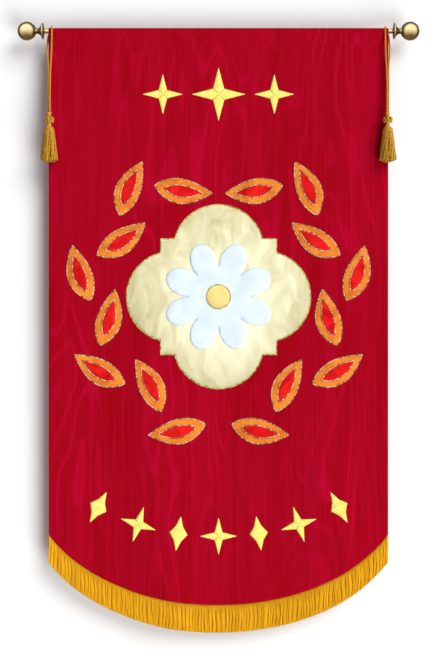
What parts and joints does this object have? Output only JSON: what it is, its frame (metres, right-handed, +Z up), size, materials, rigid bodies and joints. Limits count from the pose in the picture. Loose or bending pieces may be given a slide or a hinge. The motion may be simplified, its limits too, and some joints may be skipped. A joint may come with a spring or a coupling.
{
  "type": "church banner and rod",
  "caption": "Red cloth banner with a curved foot, gold fringe and applied flower and leaf design, hung by a top pocket on a thin brass rod with ball finials, with a corded tassel at each edge.",
  "frame": {"origin": "middle of the rod's axis, where the wall's brackets or hooks hold the rod up", "axes": "+Z up, +X along the rod to the right as seen from the front, +Y towards the wall behind; the front faces -Y"},
  "size_m": [1.081, 0.0619, 1.6447],
  "materials": {
    "red_cloth": "crisp red cloth with faint vertical watered streaks",
    "fringe_gold": "twisted golden yellow bullion fringe",
    "cord_gold": "twisted old gold cord",
    "tassel_gold": "old gold tassel thread with a netted head",
    "brass": "antique brass, polished with dark recesses",
    "gold_lame": "pale gold lame with metallic thread at its edge",
    "white_satin": "cool white satin",
    "orange_satin": "orange satin edged with gold thread",
    "scarlet_satin": "scarlet satin edged with gold thread",
    "yellow_stitch": "pale yellow satin stitch"
  },
  "bodies": {
    "root": {"panel": "red_cloth", "fringe": "fringe_gold", "rod": "brass", "finial_left": "brass", "finial_right": "brass", "cord_left": "cord_gold", "cord_right": "cord_gold", "tassel_left": "tassel_gold", "tassel_right": "tassel_gold", "medallion": "gold_lame", "flower": "white_satin", "flower_eye": "gold_lame", "leaf_left_1": "orange_satin", "leaf_left_2": "orange_satin", "leaf_left_3": "orange_satin", "leaf_left_4": "orange_satin", "leaf_left_5": "orange_satin", "leaf_left_6": "orange_satin", "leaf_left_7": "orange_satin", "leaf_left_8": "orange_satin", "leaf_right_1": "orange_satin", "leaf_right_2": "orange_satin", "leaf_right_3": "orange_satin", "leaf_right_4": "orange_satin", "leaf_right_5": "orange_satin", "leaf_right_6": "orange_satin", "leaf_right_7": "orange_satin", "leaf_right_8": "orange_satin", "leaf_heart_left_1": "scarlet_satin", "leaf_heart_left_2": "scarlet_satin", "leaf_heart_left_3": "scarlet_satin", "leaf_heart_left_4": "scarlet_satin", "leaf_heart_left_5": "scarlet_satin", "leaf_heart_left_6": "scarlet_satin", "leaf_heart_left_7": "scarlet_satin", "leaf_heart_left_8": "scarlet_satin", "leaf_heart_right_1": "scarlet_satin", "leaf_heart_right_2": "scarlet_satin", "leaf_heart_right_3": "scarlet_satin", "leaf_heart_right_4": "scarlet_satin", "leaf_heart_right_5": "scarlet_satin", "leaf_heart_right_6": "scarlet_satin", "leaf_heart_right_7": "scarlet_satin", "leaf_heart_right_8": "scarlet_satin", "star_top_1": "yellow_stitch", "star_top_2": "yellow_stitch", "star_top_3": "yellow_stitch", "lozenge_foot_1": "yellow_stitch", "star_foot_2": "yellow_stitch", "lozenge_foot_3": "yellow_stitch", "star_foot_4": "yellow_stitch", "lozenge_foot_5": "yellow_stitch", "star_foot_6": "yellow_stitch", "lozenge_foot_7": "yellow_stitch"}
  },
  "joints": []
}
